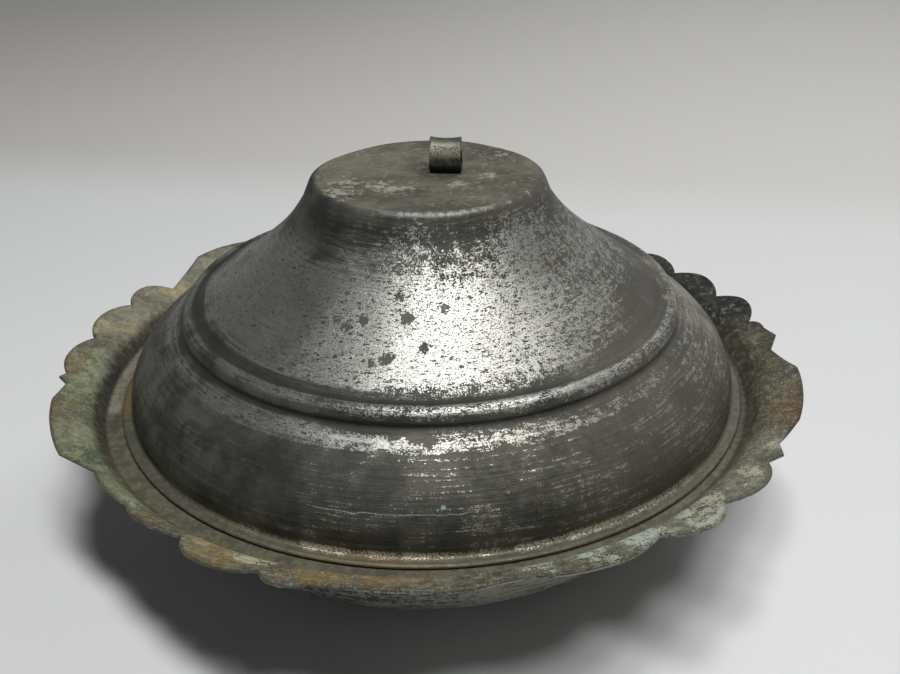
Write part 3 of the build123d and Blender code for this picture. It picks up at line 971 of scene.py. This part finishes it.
def close_strap_edges(loop, columns, strap_points):
    """Fills the two open side edges of the strap, between its outer and inner faces."""
    work = bmesh.new()
    work.from_mesh(loop.data)
    work.verts.ensure_lookup_table()
    for first in (0, len(work.verts) - columns):
        ring = [work.verts[first + i] for i in range(columns)]
        for i in range(strap_points - 1):
            near, far = ring[i], ring[i + 1]
            across, back = ring[2 * strap_points - 1 - i], ring[2 * strap_points - i]
            work.faces.new((near, far, across, back))
        tip = ring[strap_points]
        work.faces.new((ring[strap_points - 1], tip, ring[strap_points + 1]))
        work.faces.new((ring[2 * strap_points], ring[-1], ring[0]))
    bmesh.ops.recalc_face_normals(work, faces=work.faces)
    work.to_mesh(loop.data)
    work.free()


HEAD_RADIUS = 2.0
HEAD_HEIGHT = 0.9
SHANK_RADIUS = 1.5
TAIL_RADIUS = 2.6
HAMMER_DENT = 0.035       # how far hammering pulls in the head and tail, as a share of the radius


def make_rivet():
    head_top, tail_low = rivet_high[2], rivet_low[2]
    head_seat = head_top - HEAD_HEIGHT
    washer_under = washer_low[2]
    head = arc((0, head_top), (1.3, head_top - 0.33), (HEAD_RADIUS, head_seat + 0.1), 9)
    underside = straight((HEAD_RADIUS, head_seat), (SHANK_RADIUS, head_seat), 0.4)
    shank = straight((SHANK_RADIUS, head_seat), (SHANK_RADIUS, washer_under), 0.7)
    tail = arc((TAIL_RADIUS, washer_under), (1.6, tail_low + 0.42), (0, tail_low), 9)
    section = joined(head, underside, shank, tail)
    grid = turned(section, np.arange(48) * 7.5) + RIVET_CENTRE
    on_shank = np.abs(section[:, 0] - SHANK_RADIUS) < 0.01
    hammered = np.where(on_shank, 0, 1)[:, None] * section[:, :1] / TAIL_RADIUS
    centre = RIVET_CENTRE[:2]
    trim = 1 - HAMMER_DENT * (1 + ripple(grid, 2.4, 11)) * hammered
    grid[:, :, :2] = centre + (grid[:, :, :2] - centre) * trim[:, :, None]
    rivet = skin("handle_rivet_hammered", grid, poles=True)
    rivet.data.materials.append(rivet_paint())
    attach(rivet, "lid")
    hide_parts("handle_rivet")


def make_washer():
    low, high = washer_low[2], washer_high[2]
    reach = (washer_high[0] - washer_low[0]) / 2
    corners = ((SHANK_RADIUS, low), (reach, low), (reach, high), (SHANK_RADIUS, high))
    section = rounded(corners, (0.4, 0.15), 0.6, 5)
    grid = turned(section, np.arange(64) * 5.625) + RIVET_CENTRE
    out = faded(section[:, 0], 3.0, reach)[:, None]
    centre = RIVET_CENTRE[:2]
    trim = 1 - 0.02 * (1 + ripple(grid * (1, 1, 0), 5, 12)) * out
    grid[:, :, :2] = centre + (grid[:, :, :2] - centre) * trim[:, :, None]
    washer = skin("rivet_washer_cut", grid, closed=True)
    washer.data.materials.append(rivet_paint())
    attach(washer, "lid")
    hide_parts("rivet_washer")


# ---------------------------------------------------------------- stage, light and camera
def make_stage():
    """A pale round floor that curves up into a low wall; its paint darkens to the left and towards the back
    as a painted falloff of the light.
    """
    flat, bend, wall = 1250.0, 350.0, 250.0
    section = rounded(((0, 0), (flat + bend, 0), (flat + bend, bend + wall)), (bend,), 120, 12)
    floor = skin("floor", turned(section, np.arange(96) * 3.75), poles=True)
    p = Paint("pale_paper")
    # painted light falloff: the floor's colour darkens to the left and towards the back
    sideways = p.ramp(p.x, -450, 450)
    near = p.colour(sideways, rgb(0.715, 0.725, 0.735), rgb(0.785, 0.79, 0.80))
    far = p.colour(sideways, rgb(0.60, 0.588, 0.560), rgb(0.75, 0.74, 0.715))
    tone = p.colour(p.ramp(p.plus(p.y, p.times(p.x, 0.23)), 245, 365), near, far)
    tone = p.colour(p.times(p.noise(p.place, 0.02, 3), 0.06), tone, rgb(0.5, 0.5, 0.5))
    floor.data.materials.append(p.finish(tone, 0.8, 0.0))
    p.shader.inputs["Specular IOR Level"].default_value = 0.2


LAMP_POWER = 4.8
WASH_POWER = 3.8
ROOM_FRONT = 0.0
ROOM_BACK = 0.17


def area_light(name, place, target, size, power, colour=(1, 1, 1)):
    data = bpy.data.lights.new(name, "AREA")
    data.shape = "DISK"
    data.size = size
    data.energy = power
    data.color = colour
    light = bpy.data.objects.new(name, data)
    light.location = place
    light.rotation_euler = (Vector(target) - Vector(place)).to_track_quat("-Z", "Y").to_euler()
    bpy.context.scene.collection.objects.link(light)


def make_lights():
    """Three lamps in a row overhead, a wash on the floor behind, and a dim room."""
    for index, share in enumerate((0.0, 0.5, 1.0)):
        spot = (-0.037 + 0.362 * share, -0.246 - 0.341 * share, 1.25)
        area_light(f"overhead_{index}", spot, (0, 0, 0.05), 0.24, LAMP_POWER, (1.0, 1.0, 0.985))
    area_light("behind", (0.70, 0.85, 1.15), (-0.02, 0.52, 0), 0.7, WASH_POWER)
    world = bpy.data.worlds.new("dim_room")
    world.use_nodes = True
    tree = world.node_tree
    background = tree.nodes["Background"]
    direction = tree.nodes.new("ShaderNodeTexCoord").outputs["Generated"]
    toward_back = tree.nodes.new("ShaderNodeVectorMath")
    toward_back.operation = "DOT_PRODUCT"
    toward_back.inputs[1].default_value = (0.45, 0.89, 0)
    tree.links.new(direction, toward_back.inputs[0])
    depth = tree.nodes.new("ShaderNodeMapRange")
    tree.links.new(toward_back.outputs["Value"], depth.inputs["Value"])
    depth.inputs["From Min"].default_value = -0.1
    depth.inputs["From Max"].default_value = 0.8
    depth.inputs["To Min"].default_value = ROOM_FRONT
    depth.inputs["To Max"].default_value = ROOM_BACK
    tree.links.new(depth.outputs[0], background.inputs["Strength"])
    background.inputs["Color"].default_value = (0.97, 0.99, 1.0, 1)
    bpy.context.scene.world = world


def make_camera():
    """In front of the dish, a little above it and looking down."""
    data = bpy.data.cameras.new("camera")
    data.lens = 39.2
    data.sensor_width = 36.0
    camera = bpy.data.objects.new("camera", data)
    camera.location = (0.0023, -0.2847, 0.2049)
    camera.rotation_euler = Euler([math.radians(a) for a in (62.2, 0.9, -1.6)])
    bpy.context.scene.collection.objects.link(camera)
    bpy.context.scene.camera = camera


make_lid()
make_bowl()
make_loop()
make_rivet()
make_washer()
make_stage()
make_lights()
make_camera()
bpy.context.scene.view_settings.view_transform = "Standard"
